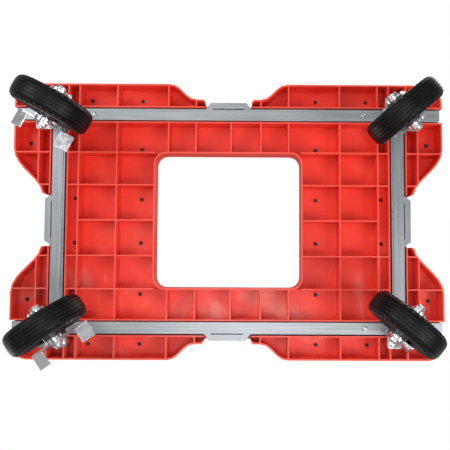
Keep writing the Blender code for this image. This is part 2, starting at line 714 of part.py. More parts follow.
def make_lever(name, axle, group, cutters, metals):
    """Brake lever; in the axle's frame local X runs along the trail and +Z points outwards."""
    zinc = metals["bright_zinc"]
    holes = [circle((0, 0), AXLE_RADIUS + HOLE_SLACK, 16)]
    mesh = outline_mesh("lever", [lever_outline()] + holes, LEVER_INSIDE, LEVER_INSIDE + LEVER_PLATE)
    lever_name = "brake_lever_" + name
    lever = place(mesh, lever_name, group, zinc, parent=axle)
    back, front = LEVER_REACH
    for word, x, tilt in (("back", back, TAB_TILT), ("front", front, -TAB_TILT)):
        tab_name = f"lever_tab_{word}_{name}"
        mesh = box_mesh(tab_name, (-TAB_LENGTH / 2, -LEVER_PLATE / 2, 0),
                        (TAB_LENGTH / 2, LEVER_PLATE / 2, TAB_OUT))
        tab = place(mesh, tab_name, cutters, parent=axle,
                    location=(x, 0, LEVER_INSIDE + 0.0002), rotation=(0, 0, tilt))
        add_boolean(lever, tab, "UNION")


def make_caster(spec, group, cutters, metals):
    name, side_x, side_y, angle, nut_side, brake = spec
    centre = caster_place(side_x, side_y)
    make_plate(name, centre, group, cutters, metals)
    swivel = place_empty("swivel_" + name, group, location=(*centre, 0), rotation=(0, 0, angle))
    axle = place_empty("axle_" + name, group, parent=swivel, location=(TRAIL, 0, AXLE_HEIGHT),
                       rotation=(-nut_side * math.pi / 2, 0, 0))
    make_fork(name, swivel, group, cutters, metals, nut_side)
    make_wheel(name, axle, group, cutters, metals, brake)
    if brake:
        make_lever(name, axle, group, cutters, metals)


def main():
    clear_scene()
    group = new_collection("furniture_dolly")
    cutters = new_collection("cutters")
    metals = {name: make_material(name) for name in MATERIALS}
    make_deck(group, cutters, metals["deck_red"])
    make_rails(group, cutters, metals["galvanised"])
    make_deck_screws(group, metals["bright_zinc"])
    for spec in CASTERS:
        make_caster(spec, group, cutters, metals)


main()
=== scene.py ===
"""Furniture dolly: the finished surfaces of its deck, lashing frame and casters.

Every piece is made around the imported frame, whose boxes and joints give the
places and sizes. Metres, +Z up, wheels on the floor at z = 0.
"""

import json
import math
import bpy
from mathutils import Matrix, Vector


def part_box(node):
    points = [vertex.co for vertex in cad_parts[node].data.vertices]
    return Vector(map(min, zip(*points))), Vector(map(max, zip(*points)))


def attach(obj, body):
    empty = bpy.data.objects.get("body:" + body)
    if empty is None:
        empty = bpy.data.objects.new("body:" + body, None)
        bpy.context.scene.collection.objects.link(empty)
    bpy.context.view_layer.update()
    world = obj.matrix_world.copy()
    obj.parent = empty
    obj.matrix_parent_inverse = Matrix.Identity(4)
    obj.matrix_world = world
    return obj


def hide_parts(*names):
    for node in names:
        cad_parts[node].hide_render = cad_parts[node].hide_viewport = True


bl_info = {
    "name": "Furniture Dolly",
    "version": (1, 0, 0),
    "blender": (4, 5, 0),
    "location": "View3D > Sidebar > Dolly",
    "description": "Builds a ribbed plastic furniture dolly on four swivel casters",
    "category": "Object",
}

import bmesh
import bpy
from mathutils import Matrix, Vector

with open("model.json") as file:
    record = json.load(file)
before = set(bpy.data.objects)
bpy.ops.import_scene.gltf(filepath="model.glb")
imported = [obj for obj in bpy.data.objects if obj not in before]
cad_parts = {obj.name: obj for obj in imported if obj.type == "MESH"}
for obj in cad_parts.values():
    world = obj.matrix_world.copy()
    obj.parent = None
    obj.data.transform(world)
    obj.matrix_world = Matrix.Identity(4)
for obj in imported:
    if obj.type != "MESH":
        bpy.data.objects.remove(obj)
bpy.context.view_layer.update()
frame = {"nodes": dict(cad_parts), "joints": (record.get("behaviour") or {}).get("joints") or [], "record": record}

CORNERS = ("fl", "bl", "fr", "br")
BRAKED = ("fl", "bl")
JOINTS = {joint["name"]: joint for joint in frame["joints"]}
BODY_OF = {node: body
           for body, nodes in frame["record"]["behaviour"]["bodies"].items() for node in nodes}

# Details that stay as they are, in metres where they are lengths
TYRE_SHOULDER = 0.0125  # from a tyre's crown down to its wall
TYRE_SQUARENESS = 3.4  # 2 makes a half-round tread, more makes it flatter
NOTCH_FROM, NOTCH_TO = 0.0020, 0.0150  # below the crown
NOTCH_SHARE = 0.2  # of a pitch, to each side of a notch's middle
STEPS_PER_NOTCH = 8  # round the tyre
AXLE_RADIUS = 0.0060
AXLE_SLACK = 0.0003
AXLE_HEAD_HEIGHT = 0.0062
THREAD_PITCH = 0.0010
THREAD_DEPTH = 0.0005
NUT_COLLAR = 0.0024  # height of a lock nut's round collar
DUST_RING_RADIUS = 0.0262
GRIP_HOLES = 28
GRIP_HOLE_RADIUS = 0.004
GRIP_HOLE_SIDES = 8
PLUG_STEM_RADIUS = 0.0036
FLOOR_HALF_SIDE = 6.0
FLOOR_FADE = (0.9, 2.6)  # from the middle: solid up to here, clear from there
DECK_UNDERSIDE = 0.192
CAMERA_DISTANCE = 1.100  # from the underside of the deck


# Sizes and colours that a user would change

class DollySizes(bpy.types.PropertyGroup):
    edge_plastic: bpy.props.FloatProperty(
        name="Deck edge", description="Rounding of the moulded edges",
        default=0.0006, min=0.0, unit="LENGTH")
    edge_steel: bpy.props.FloatProperty(
        name="Steel edge", description="Rounding of the sheet steel edges",
        default=0.0007, min=0.0, unit="LENGTH")
    edge_rail: bpy.props.FloatProperty(
        name="Rail edge", description="Rounding of the rolled rails' edges",
        default=0.0014, min=0.0, unit="LENGTH")
    tread_grooves: bpy.props.IntProperty(
        name="Tread grooves", description="Fine grooves round each tyre", default=7, min=1)
    groove_depth: bpy.props.FloatProperty(
        name="Groove depth", description="Depth of the fine grooves round the tread",
        default=0.0010, min=0.0, unit="LENGTH")
    groove_width: bpy.props.FloatProperty(
        name="Groove width", description="Width of the fine grooves round the tread",
        default=0.0016, min=0.0, unit="LENGTH")
    shoulder_notches: bpy.props.IntProperty(
        name="Shoulder notches", description="Notches across each shoulder of a tyre",
        default=36, min=3)
    notch_depth: bpy.props.FloatProperty(
        name="Notch depth", description="Depth of the notches in the shoulders",
        default=0.0038, min=0.0, unit="LENGTH")
    plug_head: bpy.props.FloatProperty(
        name="Plug head", description="Radius of a grip plug's head on the deck",
        default=0.0075, min=0.004, unit="LENGTH")
    plug_proud: bpy.props.FloatProperty(
        name="Plug height", description="How far a grip plug stands above the deck",
        default=0.0012, min=0.0, unit="LENGTH")


class DollyColours(bpy.types.PropertyGroup):
    deck: bpy.props.FloatVectorProperty(
        name="Deck", description="Moulded plastic", subtype="COLOR", size=4,
        default=(0.865, 0.050, 0.028, 1.0), min=0.0, max=1.0)
    # painted reflection: the pale colour mixed into the deck more towards the back, where light from the back is
    # reflected, and into its scuffs
    deck_sheen: bpy.props.FloatVectorProperty(
        name="Deck sheen", description="Pale painted reflection on the plastic, also in its scuffs", subtype="COLOR", size=4,
        default=(0.84, 0.340, 0.290, 1.0), min=0.0, max=1.0)
    steel: bpy.props.FloatVectorProperty(
        name="Galvanised steel", description="Lashing frame", subtype="COLOR", size=4,
        default=(0.365, 0.395, 0.420, 1.0), min=0.0, max=1.0)
    zinc: bpy.props.FloatVectorProperty(
        name="Bright zinc", description="Caster plates, forks and fasteners", subtype="COLOR",
        size=4, default=(0.74, 0.75, 0.77, 1.0), min=0.0, max=1.0)
    rubber: bpy.props.FloatVectorProperty(
        name="Rubber", description="Tyres", subtype="COLOR", size=4,
        default=(0.0034, 0.0034, 0.0036, 1.0), min=0.0, max=1.0)
    # painted shade: the rubber plugs get a dark reddish brown that stands in for the shade inside the deck's holes
    plug: bpy.props.FloatVectorProperty(
        name="Plug", description="Grip plugs in the deck, darkened as painted shade", subtype="COLOR", size=4,
        default=(0.070, 0.034, 0.029, 1.0), min=0.0, max=1.0)
    rim: bpy.props.FloatVectorProperty(
        name="Rim", description="Wheel rims", subtype="COLOR", size=4,
        default=(0.028, 0.028, 0.030, 1.0), min=0.0, max=1.0)


# Shader node helpers and shared effects

def add_node(tree, kind, settings=None, **inputs):
    """Add a node; settings are its properties, and each input is a value or a socket."""
    node = tree.nodes.new(kind)
    for key, value in (settings or {}).items():
        setattr(node, key, value)
    for key, value in inputs.items():
        socket = node.inputs[key.replace("_", " ")]
        if isinstance(value, bpy.types.NodeSocket):
            tree.links.new(value, socket)
        else:
            socket.default_value = value
    return node


def add_math(tree, operation, first, second=0.0, clamp=False):
    node = tree.nodes.new("ShaderNodeMath")
    node.operation = operation
    node.use_clamp = clamp
    for socket, value in zip(node.inputs, (first, second)):
        if isinstance(value, bpy.types.NodeSocket):
            tree.links.new(value, socket)
        else:
            socket.default_value = value
    return node.outputs[0]


def add_mix(tree, factor, first, second):
    """Mix two colours; any of the three may be a socket or a value."""
    node = tree.nodes.new("ShaderNodeMix")
    node.data_type = "RGBA"
    for index, value in ((0, factor), (6, first), (7, second)):
        if isinstance(value, bpy.types.NodeSocket):
            tree.links.new(value, node.inputs[index])
        else:
            node.inputs[index].default_value = value
    return node.outputs[2]


def add_range(tree, value, low, high, to_low=0.0, to_high=1.0):
    node = add_node(tree, "ShaderNodeMapRange", {"interpolation_type": "SMOOTHSTEP"}, Value=value)
    for name, number in (("From Min", low), ("From Max", high),
                         ("To Min", to_low), ("To Max", to_high)):
        node.inputs[name].default_value = number
    return node.outputs["Result"]


def new_group(name, inputs, outputs):
    """An empty shader group with these (name, type, default) sockets.

    Returns its tree, the sockets of what it is given and the sockets of what it gives.
    """
    tree = bpy.data.node_groups.new(name, "ShaderNodeTree")
    for label, kind, default in inputs:
        socket = tree.interface.new_socket(label, in_out="INPUT", socket_type=kind)
        socket.default_value = default
    for label, kind in outputs:
        tree.interface.new_socket(label, in_out="OUTPUT", socket_type=kind)
    entry = tree.nodes.new("NodeGroupInput")
    leave = tree.nodes.new("NodeGroupOutput")
    return tree, entry.outputs, leave.inputs


def marks_and_sheen_group():
    """Cloudy haze and fine scuffs: a mask from 0 to 1 and a height for the bump. On the deck they place a painted
    reflection; elsewhere they are random dust, milkiness, dulling and chips.
    """
    tree, given, out = new_group(
        "Marks and Sheen",
        (("Cloud Scale", "NodeSocketFloat", 6.0), ("Scuff Scale", "NodeSocketFloat", 60.0)),
        (("Haze", "NodeSocketFloat"), ("Scuffs", "NodeSocketFloat"), ("Height", "NodeSocketFloat")))
    place = add_node(tree, "ShaderNodeTexCoord").outputs["Object"]
    cloud = add_node(tree, "ShaderNodeTexNoise", Vector=place, Scale=given["Cloud Scale"],
                     Detail=4.0, Roughness=0.55, Distortion=0.6).outputs["Fac"]
    stretched = add_node(tree, "ShaderNodeMapping", Vector=place, Rotation=(0.0, 0.0, 0.6),
                         Scale=(1.0, 0.12, 1.0)).outputs["Vector"]
    scuff = add_node(tree, "ShaderNodeTexNoise", Vector=stretched, Scale=given["Scuff Scale"],
                     Detail=6.0, Roughness=0.7).outputs["Fac"]
    tree.links.new(add_range(tree, cloud, 0.47, 0.68), out["Haze"])
    tree.links.new(add_range(tree, scuff, 0.60, 0.72), out["Scuffs"])
    tree.links.new(add_math(tree, "MULTIPLY", cloud, 0.6), out["Height"])
    return tree


def fine_grain_group():
    """Even grain of a moulded, cast or plated surface, as a height and a mask."""
    tree, given, out = new_group(
        "Fine Grain",
        (("Scale", "NodeSocketFloat", 900.0), ("Unevenness", "NodeSocketFloat", 40.0)),
        (("Height", "NodeSocketFloat"), ("Mask", "NodeSocketFloat")))
    place = add_node(tree, "ShaderNodeTexCoord").outputs["Object"]
    grain = add_node(tree, "ShaderNodeTexNoise", Vector=place, Scale=given["Scale"],
                     Detail=2.0, Roughness=0.5).outputs["Fac"]
    wave = add_node(tree, "ShaderNodeTexNoise", Vector=place, Scale=given["Unevenness"],
                    Detail=2.0, Roughness=0.5).outputs["Fac"]
    both = add_math(tree, "ADD", add_math(tree, "MULTIPLY", grain, 0.4), wave)
    tree.links.new(both, out["Height"])
    tree.links.new(add_range(tree, wave, 0.35, 0.65), out["Mask"])
    return tree


def rolled_streaks_group():
    """Long faint streaks of rolled sheet, along X or along Y, as a mask."""
    tree, given, out = new_group(
        "Rolled Streaks",
        (("Squeeze", "NodeSocketVector", (0.02, 1.0, 1.0)), ("Scale", "NodeSocketFloat", 260.0)),
        (("Streaks", "NodeSocketFloat"), ("Spangle", "NodeSocketFloat")))
    place = add_node(tree, "ShaderNodeTexCoord").outputs["Object"]
    squeezed = add_node(tree, "ShaderNodeVectorMath", {"operation": "MULTIPLY"})
    tree.links.new(place, squeezed.inputs[0])
    tree.links.new(given["Squeeze"], squeezed.inputs[1])
    lines = add_node(tree, "ShaderNodeTexNoise", Vector=squeezed.outputs[0], Scale=given["Scale"],
                     Detail=5.0, Roughness=0.65).outputs["Fac"]
    crystals = add_node(tree, "ShaderNodeTexVoronoi", Vector=place, Scale=170.0, Randomness=1.0)
    tree.links.new(add_range(tree, lines, 0.30, 0.70), out["Streaks"])
    channels = add_node(tree, "ShaderNodeSeparateColor", Color=crystals.outputs["Color"]).outputs
    tree.links.new(channels[0], out["Spangle"])
    return tree


def placed_group(tree, name, **inputs):
    node = tree.nodes.new("ShaderNodeGroup")
    node.node_tree = bpy.data.node_groups[name]
    for key, value in inputs.items():
        node.inputs[key.replace("_", " ")].default_value = value
    return node.outputs


def start_material(name, roughness, metallic, **shader_values):
    material = bpy.data.materials.new(name)
    material.use_nodes = True
    shader = material.node_tree.nodes["Principled BSDF"]
    shader.inputs["Roughness"].default_value = roughness
    shader.inputs["Metallic"].default_value = metallic
    for key, value in shader_values.items():
        shader.inputs[key.replace("_", " ")].default_value = value
    return material, material.node_tree, shader


def add_bump(tree, shader, height, strength, distance):
    bump = add_node(tree, "ShaderNodeBump", Height=height, Strength=strength, Distance=distance)
    tree.links.new(bump.outputs["Normal"], shader.inputs["Normal"])


def shaded(colour, factor, lift=0.0):
    """The colour with every channel scaled and then lifted."""
    return tuple(min(1.0, channel * factor + lift) for channel in colour[:3]) + (1.0,)


def piece_place(tree):
    """The piece's own X, Y and Z as sockets."""
    place = add_node(tree, "ShaderNodeTexCoord").outputs["Object"]
    return add_node(tree, "ShaderNodeSeparateXYZ", Vector=place).outputs


# Materials

def deck_plastic(colours):
    """Semi-gloss moulded plastic: a painted highlight on the rib tips, a painted reflection that grows towards the
    back, a grained top.
    """
    material, tree, shader = start_material("deck_plastic", 0.40, 0.0, Specular_IOR_Level=0.24)
    marks = placed_group(tree, "Marks and Sheen", Cloud_Scale=7.0, Scuff_Scale=70.0)
    grain = placed_group(tree, "Fine Grain", Scale=1400.0, Unevenness=18.0)
    lowest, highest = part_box("deck")
    place = piece_place(tree)
    # painted highlight: the lowest few millimetres of the ribs, nearest the lamps below, are mixed towards a paler
    # red
    tip_highlight_mask = add_range(tree, place["Z"], lowest[2] + 0.0005, lowest[2] + 0.0030, 1.0, 0.0)
    # painted reflection: a pale cloudy haze that grows towards the back and is kept off the grained top
    towards_back = add_range(tree, place["Y"], -0.05, 0.20, 0.10, 1.0)
    top = add_range(tree, place["Z"], highest[2] - 0.0008, highest[2] - 0.0001)
    off_top = add_math(tree, "SUBTRACT", 1.0, add_math(tree, "MULTIPLY", top, 0.7))
    back_reflection_mask = add_math(tree, "MULTIPLY", towards_back, off_top)
    clouds = add_math(tree, "ADD", add_math(tree, "MULTIPLY", marks["Haze"], 0.82), 0.13)
    haze = add_math(tree, "MULTIPLY", clouds, back_reflection_mask)
    hazy = add_mix(tree, haze, tuple(colours.deck), tuple(colours.deck_sheen))
    deep = shaded(colours.deck, 0.88)
    flow = add_mix(tree, add_math(tree, "MULTIPLY", grain["Mask"], 0.5), hazy, deep)
    red, green, blue = colours.deck[:3]
    # pale is the colour of that painted highlight on the rib tips
    pale = (red * 0.95, green + 0.055, blue + 0.045, 1.0)
    tip_highlighted = add_mix(tree, add_math(tree, "MULTIPLY", tip_highlight_mask, 0.75), flow, pale)
    # the scuffs follow the same weight and pale colour, so they carry the painted reflection as well as wear
    scuffs = add_math(tree, "MULTIPLY", marks["Scuffs"], add_math(tree, "MULTIPLY", back_reflection_mask, 0.55))
    scuffed = add_mix(tree, scuffs, tip_highlighted, tuple(colours.deck_sheen))
    tree.links.new(scuffed, shader.inputs["Base Color"])
    rough = add_math(tree, "ADD", add_math(tree, "MULTIPLY", marks["Haze"], 0.10), 0.34)
    rough = add_math(tree, "ADD", rough, add_math(tree, "MULTIPLY", top, 0.16))
    tree.links.new(rough, shader.inputs["Roughness"])
    coordinates = add_node(tree, "ShaderNodeTexCoord").outputs["Object"]
    pebbles = add_node(
        tree, "ShaderNodeTexVoronoi", Vector=coordinates, Scale=520.0).outputs["Distance"]
    leather = add_math(tree, "MULTIPLY", add_math(tree, "MULTIPLY", pebbles, 2.0), top)
    smooth = add_math(tree, "MULTIPLY", grain["Height"], 0.25)
    add_bump(tree, shader, add_math(tree, "ADD", leather, smooth), 0.35, 0.0004)
    return material


def galvanised_steel(colours, name, squeeze, shade):
    """Rolled and galvanised sheet with long streaks and faint crystals."""
    material, tree, shader = start_material(name, 0.42, 0.70)
    streaks = placed_group(tree, "Rolled Streaks", Squeeze=squeeze, Scale=300.0)
    marks = placed_group(tree, "Marks and Sheen", Cloud_Scale=9.0, Scuff_Scale=120.0)
    # shade scales the whole sheet's colour; below 1, as on the cross rails, it is painted shade
    dark = shaded(colours.steel, shade * 0.78)
    light = shaded(colours.steel, shade * 1.18)
    middle = shaded(colours.steel, shade)
    banded = add_mix(tree, streaks["Streaks"], dark, light)
    spangle = add_math(tree, "MULTIPLY", streaks["Spangle"], 0.22)
    crystals = add_mix(tree, spangle, banded, middle)
    dulled = add_mix(tree, add_math(tree, "MULTIPLY", marks["Haze"], 0.30), crystals, dark)
    tree.links.new(dulled, shader.inputs["Base Color"])
    rough = add_math(tree, "ADD", add_math(tree, "MULTIPLY", streaks["Streaks"], 0.10), 0.38)
    tree.links.new(rough, shader.inputs["Roughness"])
    add_bump(tree, shader, streaks["Streaks"], 0.08, 0.0002)
    return material


def bright_zinc(colours):
    """Zinc-plated pressings and fasteners: glossy, a little milky in places."""
    material, tree, shader = start_material("zinc_plating", 0.20, 0.96)
    marks = placed_group(tree, "Marks and Sheen", Cloud_Scale=22.0, Scuff_Scale=160.0)
    grain = placed_group(tree, "Fine Grain", Scale=700.0, Unevenness=90.0)
    milky = (0.60, 0.63, 0.66, 1.0)
    haze = add_math(tree, "MULTIPLY", marks["Haze"], 0.55)
    tone = add_mix(tree, haze, tuple(colours.zinc), milky)
    tree.links.new(tone, shader.inputs["Base Color"])
    rough = add_math(tree, "ADD", add_math(tree, "MULTIPLY", marks["Scuffs"], 0.22), 0.15)
    rough = add_math(tree, "ADD", rough, add_math(tree, "MULTIPLY", grain["Mask"], 0.10))
    tree.links.new(rough, shader.inputs["Roughness"])
    add_bump(tree, shader, grain["Height"], 0.06, 0.0002)
    return material


def wheel_rubber(name, colour):
    """Black rubber with a soft sheen and a dusting of grey."""
    material, tree, shader = start_material(name, 0.45, 0.0, Specular_IOR_Level=0.20)
    marks = placed_group(tree, "Marks and Sheen", Cloud_Scale=30.0, Scuff_Scale=220.0)
    grain = placed_group(tree, "Fine Grain", Scale=1600.0, Unevenness=220.0)
    dusty = shaded(colour, 1.8, 0.0012)
    tone = add_mix(tree, add_math(tree, "MULTIPLY", marks["Haze"], 0.5), tuple(colour), dusty)
    tone = add_mix(tree, add_math(tree, "MULTIPLY", marks["Scuffs"], 0.3), tone, dusty)
    tree.links.new(tone, shader.inputs["Base Color"])
    rough = add_math(tree, "ADD", add_math(tree, "MULTIPLY", marks["Haze"], 0.14), 0.42)
    tree.links.new(rough, shader.inputs["Roughness"])
    add_bump(tree, shader, grain["Height"], 0.15, 0.0002)
    return material


def rim_paint(colours):
    """Dark grey satin paint with chips of the metal below."""
    material, tree, shader = start_material("rim_paint", 0.42, 0.2, Coat_Weight=0.15)
    marks = placed_group(tree, "Marks and Sheen", Cloud_Scale=26.0, Scuff_Scale=190.0)
    grain = placed_group(tree, "Fine Grain", Scale=1100.0, Unevenness=120.0)
    chipped = (0.16, 0.16, 0.165, 1.0)
    chips = add_math(tree, "MULTIPLY", marks["Scuffs"], 0.55)
    tone = add_mix(tree, chips, tuple(colours.rim), chipped)
    tree.links.new(tone, shader.inputs["Base Color"])
    rough = add_math(tree, "ADD", add_math(tree, "MULTIPLY", grain["Mask"], 0.12), 0.34)
    tree.links.new(rough, shader.inputs["Roughness"])
    add_bump(tree, shader, grain["Height"], 0.20, 0.0004)
    return material


# Mesh helpers

def node_corners(node, matrix):
    """Lowest and highest corner of a node in the given local frame."""
    inverse = matrix.inverted()
    points = [inverse @ vertex.co for vertex in frame["nodes"][node].data.vertices]
    low = Vector(min(point[i] for point in points) for i in range(3))
    high = Vector(max(point[i] for point in points) for i in range(3))
    return low, high


def box_middle(node):
    low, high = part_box(node)
    return (Vector(low) + Vector(high)) / 2


def axle_frame(corner):
    """Local frame of a wheel: X along the trail, Z along the axle towards the nut."""
    wheel = JOINTS["wheel_spin_" + corner]
    centre = Vector(wheel["pos_m"])
    outwards = Vector(wheel["axis"])
    if (box_middle("axle_nut_" + corner) - centre).dot(outwards) < 0:
        outwards.negate()
    trail = centre - Vector(JOINTS["swivel_" + corner]["pos_m"])
    trail.z = 0.0
    trail.normalize()
    axes = Matrix((trail, outwards.cross(trail), outwards)).transposed()
    return Matrix.Translation(centre) @ axes.to_4x4()


def upright_frame(node):
    middle = box_middle(node)
    return Matrix.Translation((middle.x, middle.y, 0.0))


def turn_profile(bm, profile, steps, closed):
    """Spin a profile of (radius, height) points round the local Z axis."""
    verts = [bm.verts.new((radius, 0.0, height)) for radius, height in profile]
    edges = [bm.edges.new(pair) for pair in zip(verts, verts[1:])]
    if closed:
        edges.append(bm.edges.new((verts[-1], verts[0])))
    bmesh.ops.spin(bm, geom=verts + edges, axis=(0, 0, 1), cent=(0, 0, 0), angle=math.tau,
                   steps=steps, use_merge=True)
    bmesh.ops.remove_doubles(bm, verts=bm.verts, dist=0.000002)
    bmesh.ops.recalc_face_normals(bm, faces=bm.faces)


def rounded_profile(points, radius, steps=3):
    """Round every inner corner of an open profile by the same distance."""
    smooth = [points[0]]
    for before, here, after in zip(points, points[1:], points[2:]):
        a = Vector(before) - Vector(here)
        b = Vector(after) - Vector(here)
        reach = min(radius, a.length * 0.45, b.length * 0.45)
        start = Vector(here) + a.normalized() * reach
        end = Vector(here) + b.normalized() * reach
        for step in range(steps + 1):
            t = step / steps
            smooth.append(tuple(
                (1 - t) ** 2 * start + 2 * t * (1 - t) * Vector(here) + t * t * end))
    smooth.append(points[-1])
    return smooth


def add_hexagon(bm, radius, low, high, chamfer):
    """A hexagon head or nut with its corners chamfered at both ends."""
    shape = bmesh.ops.create_cone(
        bm, cap_ends=True, segments=6, radius1=radius, radius2=radius, depth=high - low,
        matrix=Matrix.Translation((0, 0, (low + high) / 2)))
    edges = {edge for vert in shape["verts"] for edge in vert.link_edges}
    bmesh.ops.bevel(bm, geom=list(edges), offset=chamfer, offset_type="OFFSET", segments=2,
                    affect="EDGES", profile=0.5, material=-1)


def finish_piece(name, bm, material, node, matrix=None, replaces=(), crease=34.0):
    """Turn a bmesh into a piece that rides with the given node's body."""
    if matrix is not None:
        bm.transform(matrix)
    if not bm.faces:
        raise RuntimeError(f"{name} has no faces")
    mesh = bpy.data.meshes.new(name)
    bm.to_mesh(mesh)
    bm.free()
    mesh.shade_smooth()
    mesh.set_sharp_from_angle(angle=math.radians(crease))
    mesh.materials.append(material)
    piece = bpy.data.objects.new(name, mesh)
    bpy.context.scene.collection.objects.link(piece)
    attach(piece, BODY_OF[node])
    if replaces:
        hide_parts(*replaces)
    return piece


def welded_copy(node):
    """A node's mesh with its loose triangles joined into whole faces."""
    bm = bmesh.new()
    bm.from_mesh(frame["nodes"][node].data)
    bmesh.ops.remove_doubles(bm, verts=bm.verts, dist=0.000005)
    bmesh.ops.dissolve_limit(bm, angle_limit=math.radians(0.5), verts=bm.verts, edges=bm.edges)
    return bm


def soften_edges(piece, width, segments=2, angle=30.0):
    step = piece.modifiers.new("soft edges", "BEVEL")
    step.width = width
    step.segments = segments
    step.limit_method = "ANGLE"
    step.angle_limit = math.radians(angle)
    step.use_clamp_overlap = True
    flat = piece.modifiers.new("even shading", "WEIGHTED_NORMAL")
    flat.mode = "FACE_AREA"
    flat.weight = 100
    flat.keep_sharp = True


def softened_node(node, name, material, width, segments=2, angle=30.0):
    piece = finish_piece(name, welded_copy(node), material, node, replaces=(node,))
    soften_edges(piece, width, segments, angle)
    return piece


def paint_node(node, material):
    """Give a node that stays as it is its finished material."""
    mesh = frame["nodes"][node].data
    mesh.materials.clear()
    mesh.materials.append(material)


def material_named(name):
    material = bpy.data.materials.get(name)
    if material is None:
        raise RuntimeError(f"make the finishes first: {name} is missing")
    return material


class DollyOperator:
    """Shared by the steps, each of which makes or finishes one group of pieces."""
    bl_options = {"REGISTER", "UNDO"}


class DOLLY_OT_finishes(DollyOperator, bpy.types.Operator):
    """Make the shared effects and the dolly's finishes"""
    bl_idname = "dolly.finishes"
    bl_label = "Finishes"

    def execute(self, context):
        colours = context.scene.dolly_colours
        marks_and_sheen_group()
        fine_grain_group()
        rolled_streaks_group()
        deck_plastic(colours)
        galvanised_steel(colours, "galvanised_along", (0.02, 1.0, 1.0), 1.0)
        # the cross rails' copy is 16% darker: painted shade
        galvanised_steel(colours, "galvanised_across_shaded", (1.0, 0.02, 1.0), 0.84)
        bright_zinc(colours)
        wheel_rubber("black_rubber", colours.rubber)
        # the plugs' dark reddish brown is painted shade as well as rubber
        wheel_rubber("plug_rubber_shaded", colours.plug)
        rim_paint(colours)
        return {"FINISHED"}


class DOLLY_OT_deck(DollyOperator, bpy.types.Operator):
    """Round the moulded deck's edges and give it its plastic"""
    bl_idname = "dolly.deck"
    bl_label = "Deck"

    def execute(self, context):
        sizes = context.scene.dolly_sizes
        softened_node("deck", "deck_moulding", material_named("deck_plastic"), sizes.edge_plastic)
        return {"FINISHED"}


class DOLLY_OT_rails(DollyOperator, bpy.types.Operator):
    """Finish the four steel rails of the lashing frame"""
    bl_idname = "dolly.rails"
    bl_label = "Lashing frame"

    def execute(self, context):
        sizes = context.scene.dolly_sizes
        for node, finish in (("rail_front", "galvanised_along"), ("rail_back", "galvanised_along"),
                             ("cross_rail_left", "galvanised_across_shaded"),
                             ("cross_rail_right", "galvanised_across_shaded")):
            softened_node(node, node + "_sheet", material_named(finish), sizes.edge_rail,
                          segments=3)
        return {"FINISHED"}


class DOLLY_OT_tyres(DollyOperator, bpy.types.Operator):
    """Turn the tyres, with grooves round the tread and notches across the shoulders"""
    bl_idname = "dolly.tyres"
    bl_label = "Tyres"

    def execute(self, context):
        sizes = context.scene.dolly_sizes
        for corner in CORNERS:
            matrix = axle_frame(corner)
            tyre = node_corners("tyre_" + corner, matrix)[1]
            seat = node_corners("rim_" + corner, matrix)[1].x + 0.0003
            bm = bmesh.new()
            section = tyre_section(tyre.x, tyre.z, seat, sizes)
            turn_profile(bm, section, STEPS_PER_NOTCH * sizes.shoulder_notches, True)
            notch_shoulders(bm, tyre.x, sizes)
            node = "tyre_" + corner
            finish_piece("tyre_tread_" + corner, bm, material_named("black_rubber"), node, matrix,
                         replaces=(node,))
        return {"FINISHED"}


def tyre_section(radius, half, seat, sizes):
    """Crowned tread with fine grooves, a bead line on each wall and a flat seat."""
    shoulder = radius - TYRE_SHOULDER
    pitch = 2.0 / sizes.tread_grooves
    mouth = sizes.groove_width / half / 2
    # each station is its place across the tread, from -1 to 1, and its share of a groove's depth
    stations = [(-1.0, 0.0), (-0.985, 0.0), (-0.95, 0.0), (-0.90, 0.0)]
    for number in range(sizes.tread_grooves):
        middle = -1.0 + pitch * (number + 0.5)
        stations += [(middle - mouth, 0.0), (middle - 0.4 * mouth, 1.0),
                     (middle + 0.4 * mouth, 1.0), (middle + mouth, 0.0)]
        if number + 1 < sizes.tread_grooves:
            stations += [(middle + pitch * share, 0.0) for share in (0.35, 0.50, 0.65)]
    stations += [(0.90, 0.0), (0.95, 0.0), (0.985, 0.0), (1.0, 0.0)]
    tread = []
    for across, cut in stations:
        fullness = math.sqrt(max(0.0, 1.0 - abs(across) ** TYRE_SQUARENESS))
        crown = shoulder + (radius - shoulder) * fullness
        tread.append((crown - cut * sizes.groove_depth, -across * half))
    wall = rounded_profile(
        [tread[-1], (shoulder - 0.0030, -half), (shoulder - 0.0038, -half + 0.0010),
         (shoulder - 0.0048, -half + 0.0004), (seat + 0.0020, -half + 0.0052),
         (seat, -half + 0.0056)], 0.0006)
    other = [(r, -z) for r, z in reversed(wall)]
    return tread + wall[1:] + other[:-1]


def notch_shoulders(bm, radius, sizes):
    """Press short slots across both shoulders at even steps round the tyre."""
    pitch = math.tau / sizes.shoulder_notches
    for vert in bm.verts:
        distance = math.hypot(vert.co.x, vert.co.y)
        below = radius - distance
        turn = (math.atan2(vert.co.y, vert.co.x) / pitch) % 1.0
        if NOTCH_FROM < below < NOTCH_TO and min(turn, 1.0 - turn) < NOTCH_SHARE:
            press = math.sin(math.pi * (below - NOTCH_FROM) / (NOTCH_TO - NOTCH_FROM))
            scale = 1.0 - sizes.notch_depth * press / distance
            vert.co.x *= scale
            vert.co.y *= scale


